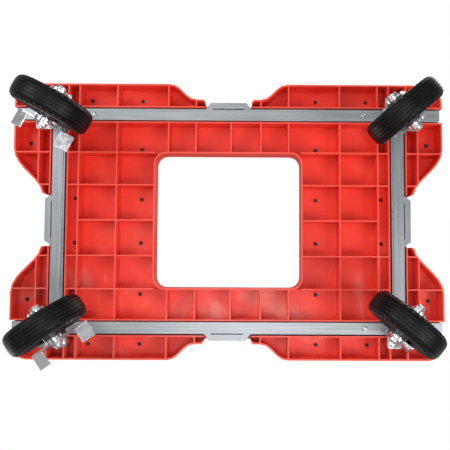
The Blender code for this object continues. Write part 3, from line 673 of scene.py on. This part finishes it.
class DOLLY_OT_rims(DollyOperator, bpy.types.Operator):
    """Turn the dished rims"""
    bl_idname = "dolly.rims"
    bl_label = "Rims"

    def execute(self, context):
        for corner in CORNERS:
            matrix = axle_frame(corner)
            rim = node_corners("rim_" + corner, matrix)[1]
            bore = node_corners("wheel_bearing_" + corner, matrix)[1].x + AXLE_SLACK
            face = rounded_profile(
                [(bore, 0.0), (bore, rim.z), (bore + 0.0040, rim.z),
                 (bore + 0.0056, rim.z - 0.0100), (bore + 0.0090, 0.0070),
                 (rim.x - 0.0100, 0.0060), (rim.x - 0.0066, 0.0090),
                 (rim.x - 0.0050, 0.0144), (rim.x - 0.0012, 0.0148), (rim.x, 0.0140),
                 (rim.x, 0.0)], 0.0012, 4)
            outer = face[1:-1]
            profile = outer + [(r, -z) for r, z in reversed(outer)]
            bm = bmesh.new()
            turn_profile(bm, profile, 96, True)
            finish_piece("rim_disc_" + corner, bm, material_named("rim_paint"), "rim_" + corner,
                         matrix, replaces=("rim_" + corner,))
        return {"FINISHED"}


class DOLLY_OT_axles(DollyOperator, bpy.types.Operator):
    """Make the bearings, axle bolts and axle nuts"""
    bl_idname = "dolly.axles"
    bl_label = "Axles"

    def execute(self, context):
        zinc = material_named("zinc_plating")
        for corner in CORNERS:
            matrix = axle_frame(corner)
            make_bearing(corner, matrix, zinc)
            bolt_low, bolt_high = node_corners("axle_bolt_" + corner, matrix)
            nut_low, nut_high = node_corners("axle_nut_" + corner, matrix)
            make_axle_bolt(corner, matrix, zinc, bolt_low.z, bolt_high, nut_high.z - 0.0020)
            make_lock_nut(corner, matrix, zinc, bolt_high.x, nut_low.z, nut_high.z)
        return {"FINISHED"}


def make_bearing(corner, matrix, material):
    """A plain sleeve with a raised bush at each end."""
    bearing = node_corners("wheel_bearing_" + corner, matrix)[1]
    bore = AXLE_RADIUS + AXLE_SLACK
    step = bearing.z - 0.0006
    bush, foot = bearing.x - 0.0030, bearing.x - 0.0028
    bm = bmesh.new()
    turn_profile(bm, rounded_profile(
        [(bore, 0.0), (bore, bearing.z), (bush, bearing.z), (foot, step), (bearing.x, step),
         (bearing.x, -step), (foot, -step), (bush, -bearing.z), (bore, -bearing.z),
         (bore, 0.0001)], 0.0003), 48, True)
    node = "wheel_bearing_" + corner
    finish_piece("bearing_sleeve_" + corner, bm, material, node, matrix, replaces=(node,))


def make_axle_bolt(corner, matrix, material, start, tip, thread_from):
    """A hexagon head on a shank with thread from behind the nut to the tip."""
    bm = bmesh.new()
    add_hexagon(bm, tip.x, start, start + AXLE_HEAD_HEIGHT, 0.0008)
    inside_head = start + AXLE_HEAD_HEIGHT - 0.0010
    thread = [(0.0, inside_head), (AXLE_RADIUS, inside_head), (AXLE_RADIUS, thread_from)]
    while thread_from + THREAD_PITCH < tip.z - 0.0006:
        thread += [(AXLE_RADIUS - THREAD_DEPTH, thread_from + THREAD_PITCH / 2),
                   (AXLE_RADIUS, thread_from + THREAD_PITCH)]
        thread_from += THREAD_PITCH
    thread += [(AXLE_RADIUS - 0.0010, tip.z), (0.0, tip.z)]
    turn_profile(bm, thread, 32, False)
    node = "axle_bolt_" + corner
    finish_piece("axle_screw_" + corner, bm, material, node, matrix, replaces=(node,))


def make_lock_nut(corner, matrix, material, head, low, high):
    """A hexagon nut with a narrower round collar on its outer end."""
    bore = AXLE_RADIUS + AXLE_SLACK
    collar = high - NUT_COLLAR
    bm = bmesh.new()
    ring = rounded_profile(
        [(bore, low), (bore, high), (head * 0.72, high), (head * 0.84, collar),
         (head * 0.84, low), (bore, low)], 0.0004)
    turn_profile(bm, ring[:-1], 48, True)
    hexagon_ring(bm, head, head * 0.80, low, collar)
    node = "axle_nut_" + corner
    finish_piece("lock_nut_" + corner, bm, material, node, matrix, replaces=(node,))


def hexagon_ring(bm, radius, inner, low, high):
    """A hexagonal ring: a prism whose two end caps are inset and bridged through."""
    shape = bmesh.ops.create_cone(
        bm, cap_ends=True, segments=6, radius1=radius, radius2=radius, depth=high - low,
        matrix=Matrix.Translation((0, 0, (low + high) / 2)))
    caps = [face for face in {face for vert in shape["verts"] for face in vert.link_faces}
            if len(face.verts) == 6]
    bmesh.ops.inset_region(bm, faces=caps, thickness=radius * 0.866 - inner * 0.95, depth=0.0)
    loops = [edge for face in caps for edge in face.edges]
    bmesh.ops.delete(bm, geom=caps, context="FACES_ONLY")
    bmesh.ops.bridge_loops(bm, edges=loops)
    bmesh.ops.recalc_face_normals(bm, faces=bm.faces)


class DOLLY_OT_plates(DollyOperator, bpy.types.Operator):
    """Round the caster plates and make their bolts and kingpins"""
    bl_idname = "dolly.plates"
    bl_label = "Caster plates"

    def execute(self, context):
        sizes = context.scene.dolly_sizes
        zinc = material_named("zinc_plating")
        for corner in CORNERS:
            plate = "caster_plate_" + corner
            softened_node(plate, "top_plate_" + corner, zinc, sizes.edge_steel)
            kingpin = "kingpin_" + corner
            end = node_corners(kingpin, upright_frame(kingpin))[0].z
            paint_node(kingpin, zinc)
            dome = rounded_profile(
                [(0.0, end - 0.0002), (0.0070, end), (0.0105, end + 0.0030), (0.0105, end + 0.0064),
                 (0.0060, end + 0.0064), (0.0060, end + 0.0075)], 0.0018, 4)
            dome.append((0.0, end + 0.0075))
            bm = bmesh.new()
            turn_profile(bm, dome, 40, False)
            finish_piece("rivet_head_" + corner, bm, zinc, kingpin, upright_frame(kingpin))
            for number in range(1, 5):
                bolt = f"plate_bolt_{corner}_{number}"
                matrix = upright_frame(bolt)
                low, high = node_corners(bolt, matrix)
                bm = bmesh.new()
                head = high.x
                add_hexagon(bm, head, low.z, low.z + 0.0040, 0.0005)
                flange = rounded_profile(
                    [(0.0, low.z + 0.0032), (head + 0.0002, low.z + 0.0038),
                     (head + 0.0010, low.z + 0.0044), (head + 0.0010, low.z + 0.0050),
                     (0.0030, low.z + 0.0050), (0.0030, high.z - 0.0010),
                     (0.0022, high.z), (0.0, high.z)], 0.0004)
                turn_profile(bm, flange, 32, False)
                finish_piece(f"flange_bolt_{corner}_{number}", bm, zinc, bolt, matrix,
                             replaces=(bolt,))
        return {"FINISHED"}


class DOLLY_OT_forks(DollyOperator, bpy.types.Operator):
    """Round the pressed forks and give each its dust ring"""
    bl_idname = "dolly.forks"
    bl_label = "Forks"

    def execute(self, context):
        sizes = context.scene.dolly_sizes
        zinc = material_named("zinc_plating")
        for corner in CORNERS:
            fork = "fork_" + corner
            softened_node(fork, "yoke_" + corner, zinc, sizes.edge_steel, segments=3)
            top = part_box(fork)[1][2]
            inner = DUST_RING_RADIUS
            ring = rounded_profile(
                [(inner, top - 0.0036), (inner + 0.0012, top - 0.0038),
                 (inner + 0.0020, top + 0.0010), (inner + 0.0004, top + 0.0036),
                 (inner - 0.0006, top + 0.0036), (inner, top - 0.0036)], 0.0006, 3)
            bm = bmesh.new()
            turn_profile(bm, ring[:-1], 64, True)
            finish_piece("dust_ring_" + corner, bm, zinc, fork, upright_frame("kingpin_" + corner))
        return {"FINISHED"}


class DOLLY_OT_levers(DollyOperator, bpy.types.Operator):
    """Round the two brake levers"""
    bl_idname = "dolly.levers"
    bl_label = "Brake levers"

    def execute(self, context):
        sizes = context.scene.dolly_sizes
        for corner in BRAKED:
            softened_node("brake_lever_" + corner, "lever_pressing_" + corner,
                          material_named("zinc_plating"), sizes.edge_steel, segments=3)
        return {"FINISHED"}


class DOLLY_OT_screws(DollyOperator, bpy.types.Operator):
    """Make the pan-head screws that hold the rails to the deck"""
    bl_idname = "dolly.screws"
    bl_label = "Deck screws"

    def execute(self, context):
        zinc = material_named("zinc_plating")
        for corner in CORNERS:
            screw = "deck_screw_" + corner
            matrix = upright_frame(screw)
            low, high = node_corners(screw, matrix)
            head = rounded_profile(
                [(0.0, low.z + 0.0008), (0.0014, low.z + 0.0008), (0.0018, low.z),
                 (high.x * 0.8, low.z), (high.x, low.z + 0.0024), (high.x, low.z + 0.0030),
                 (0.0026, low.z + 0.0030), (0.0026, high.z), (0.0, high.z)], 0.0006)
            bm = bmesh.new()
            turn_profile(bm, head, 32, False)
            finish_piece("pan_screw_" + corner, bm, zinc, screw, matrix, replaces=(screw,))
        return {"FINISHED"}


def grip_hole_places():
    """Middles of the deck's grip holes, found as the round rims on its flat top."""
    bm = welded_copy("deck")
    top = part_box("deck")[1][2]
    places = []
    for vert in bm.verts:
        if abs(vert.co.z - top) < 0.00005:
            spot = vert.co.xy
            near = [place for place in places if (place[0] - spot).length < 0.0090]  # one hole
            if near:
                near[0][1].append(spot)
            else:
                places.append((spot.copy(), [spot.copy()]))
    bm.free()
    middles = []
    for _, rim in places:
        if len(rim) == GRIP_HOLE_SIDES:
            middle = sum(rim, Vector((0.0, 0.0))) / len(rim)
            if all(abs((spot - middle).length - GRIP_HOLE_RADIUS) < 0.0002 for spot in rim):
                middles.append(middle)
    return middles


class DOLLY_OT_plugs(DollyOperator, bpy.types.Operator):
    """Fill the deck's grip holes with rubber plugs"""
    bl_idname = "dolly.plugs"
    bl_label = "Grip plugs"

    def execute(self, context):
        sizes = context.scene.dolly_sizes
        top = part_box("deck")[1][2]
        places = grip_hole_places()
        if len(places) != GRIP_HOLES:
            raise RuntimeError(f"found {len(places)} grip holes")
        stem = PLUG_STEM_RADIUS
        end = top - 0.0046
        plug = rounded_profile(
            [(0.0, end + 0.0016), (0.0012, end + 0.0016), (0.0018, end), (stem, end),
             (stem, top + 0.0001), (sizes.plug_head, top + 0.0001),
             (sizes.plug_head - 0.0008, top + sizes.plug_proud),
             (0.0, top + sizes.plug_proud)], 0.0004)
        places.sort(key=lambda spot: (spot.y, spot.x))
        for number, place in enumerate(places, start=1):
            bm = bmesh.new()
            turn_profile(bm, plug, 32, False)
            piece = finish_piece(
                f"grip_plug_{number:02d}", bm, material_named("plug_rubber_shaded"), "deck",
                Matrix.Translation((place.x, place.y, 0.0)))
        return {"FINISHED"}


class DOLLY_OT_stage(DollyOperator, bpy.types.Operator):
    """Lay the floor, hang the lights and stand the camera below the dolly"""
    bl_idname = "dolly.stage"
    bl_label = "Floor, lights and camera"

    def execute(self, context):
        make_floor()
        make_world(context.scene)
        make_lights()
        make_camera(context.scene)
        context.scene.view_settings.view_transform = "Standard"
        return {"FINISHED"}


def make_floor():
    """A pale floor that is seen from above only, so the wheels can be seen through it."""
    bm = bmesh.new()
    bmesh.ops.create_grid(bm, x_segments=1, y_segments=1, size=FLOOR_HALF_SIDE)
    mesh = bpy.data.meshes.new("floor")
    bm.to_mesh(mesh)
    bm.free()
    floor = bpy.data.objects.new("floor", mesh)
    bpy.context.scene.collection.objects.link(floor)
    material, tree, shader = start_material("floor_paper", 0.85, 0.0)
    marks = placed_group(tree, "Marks and Sheen", Cloud_Scale=1.5, Scuff_Scale=10.0)
    tone = add_mix(tree, add_math(tree, "MULTIPLY", marks["Haze"], 0.3), (0.86, 0.86, 0.85, 1.0),
                   (0.82, 0.82, 0.81, 1.0))
    tree.links.new(tone, shader.inputs["Base Color"])
    backfacing = add_node(tree, "ShaderNodeNewGeometry").outputs["Backfacing"]
    away = add_node(tree, "ShaderNodeVectorMath", {"operation": "LENGTH"},
                    Vector=add_node(tree, "ShaderNodeTexCoord").outputs["Object"]).outputs["Value"]
    see_through = add_math(tree, "MAXIMUM", backfacing, add_range(tree, away, *FLOOR_FADE))
    clear = add_node(tree, "ShaderNodeBsdfTransparent")
    mix = tree.nodes.new("ShaderNodeMixShader")
    tree.links.new(see_through, mix.inputs[0])
    tree.links.new(shader.outputs[0], mix.inputs[1])
    tree.links.new(clear.outputs[0], mix.inputs[2])
    tree.links.new(mix.outputs[0], tree.nodes["Material Output"].inputs["Surface"])
    mesh.materials.append(material)
    floor.visible_shadow = False
    floor.visible_glossy = False


def make_world(scene):
    """White for the eye; for light and reflections, bright sides over a dark horizon and floor."""
    world = bpy.data.worlds.new("studio")
    world.use_nodes = True
    scene.world = world
    tree = world.node_tree
    sky = tree.nodes["Background"]
    direction = add_node(tree, "ShaderNodeTexCoord").outputs["Generated"]
    rise = add_node(tree, "ShaderNodeSeparateXYZ", Vector=direction).outputs["Z"]
    away = add_math(tree, "ABSOLUTE", rise)
    sides = add_range(tree, away, 0.08, 0.55, 0.14, 0.70)
    ends = add_range(tree, away, 0.70, 0.98, 0.0, 0.55)
    strength = add_math(tree, "SUBTRACT", sides, ends)
    light_path = add_node(tree, "ShaderNodeLightPath").outputs
    strength = add_math(tree, "MAXIMUM", strength, light_path["Is Camera Ray"])
    sky.inputs["Color"].default_value = (1.0, 1.0, 1.0, 1.0)
    tree.links.new(strength, sky.inputs["Strength"])


def make_lights():
    """Soft boxes below, beside the camera, and above for the views from over the deck."""
    boxes = (  # name, place, what it points at, side and power in watts
        ("below_left", (-1.35, -0.70, -1.25), (0.0, 0.0, 0.20), 0.8, 14.0),
        ("below_right", (1.15, 0.75, -1.30), (0.0, 0.0, 0.20), 0.7, 15.0),
        ("below_back", (0.00, 0.44, -1.20), (0.0, 0.2, 0.20), 0.30, 3.0),
        ("below_camera", (-0.04, -0.11, -1.50), (0.0, 0.0, 0.20), 0.45, 4.6),
        ("above", (1.2, -1.4, 2.2), (0.0, 0.0, 0.15), 1.5, 25.0),
        ("above_far", (-1.8, 1.2, 1.6), (0.0, 0.0, 0.15), 1.2, 10.0),
    )
    for name, place, aim, size, power in boxes:
        light = bpy.data.lights.new("light_" + name, "AREA")
        light.size = size
        light.energy = power
        lamp = bpy.data.objects.new("light_" + name, light)
        lamp.location = place
        lamp.rotation_mode = "QUATERNION"
        lamp.rotation_quaternion = (Vector(aim) - Vector(place)).to_track_quat("-Z", "Y")
        bpy.context.scene.collection.objects.link(lamp)


def make_camera(scene):
    """Look straight up at the dolly's underside from under its middle."""
    place = Vector((0.0240, 0.070, DECK_UNDERSIDE - CAMERA_DISTANCE))
    tilt = (Matrix.Rotation(math.radians(0.3), 3, "Z")
            @ Matrix.Rotation(math.radians(-0.23), 3, "Y")
            @ Matrix.Rotation(math.radians(-3.21), 3, "X"))
    upwards = Matrix(((1, 0, 0), (0, -1, 0), (0, 0, -1)))
    camera = bpy.data.cameras.new("camera")
    camera.lens = 46.8
    camera.sensor_width = 36.0
    camera.shift_x = -0.0400
    stand = bpy.data.objects.new("camera", camera)
    stand.matrix_world = Matrix.Translation(place) @ (tilt.transposed() @ upwards).to_4x4()
    scene.collection.objects.link(stand)
    scene.camera = stand


STEPS = (DOLLY_OT_finishes, DOLLY_OT_deck, DOLLY_OT_rails, DOLLY_OT_tyres, DOLLY_OT_rims,
         DOLLY_OT_axles, DOLLY_OT_plates, DOLLY_OT_forks, DOLLY_OT_levers, DOLLY_OT_screws,
         DOLLY_OT_plugs, DOLLY_OT_stage)


class DOLLY_PT_panel(bpy.types.Panel):
    """Buttons for every group of the dolly's pieces"""
    bl_idname = "DOLLY_PT_panel"
    bl_label = "Furniture Dolly"
    bl_space_type = "VIEW_3D"
    bl_region_type = "UI"
    bl_category = "Dolly"

    def draw(self, context):
        for settings in (context.scene.dolly_sizes, context.scene.dolly_colours):
            box = self.layout.box()
            for key in settings.bl_rna.properties.keys():
                if key not in {"rna_type", "name"}:
                    box.prop(settings, key)
        for step in STEPS:
            self.layout.operator(step.bl_idname)


CLASSES = (DollySizes, DollyColours) + STEPS + (DOLLY_PT_panel,)


def register():
    for each in CLASSES:
        bpy.utils.register_class(each)
    bpy.types.Scene.dolly_sizes = bpy.props.PointerProperty(type=DollySizes)
    bpy.types.Scene.dolly_colours = bpy.props.PointerProperty(type=DollyColours)


def unregister():
    del bpy.types.Scene.dolly_colours
    del bpy.types.Scene.dolly_sizes
    for each in reversed(CLASSES):
        bpy.utils.unregister_class(each)


def main():
    register()
    bpy.ops.dolly.finishes()
    bpy.ops.dolly.deck()
    bpy.ops.dolly.rails()
    bpy.ops.dolly.tyres()
    bpy.ops.dolly.rims()
    bpy.ops.dolly.axles()
    bpy.ops.dolly.plates()
    bpy.ops.dolly.forks()
    bpy.ops.dolly.levers()
    bpy.ops.dolly.screws()
    bpy.ops.dolly.plugs()
    bpy.ops.dolly.stage()


if __name__ == "__main__":
    main()
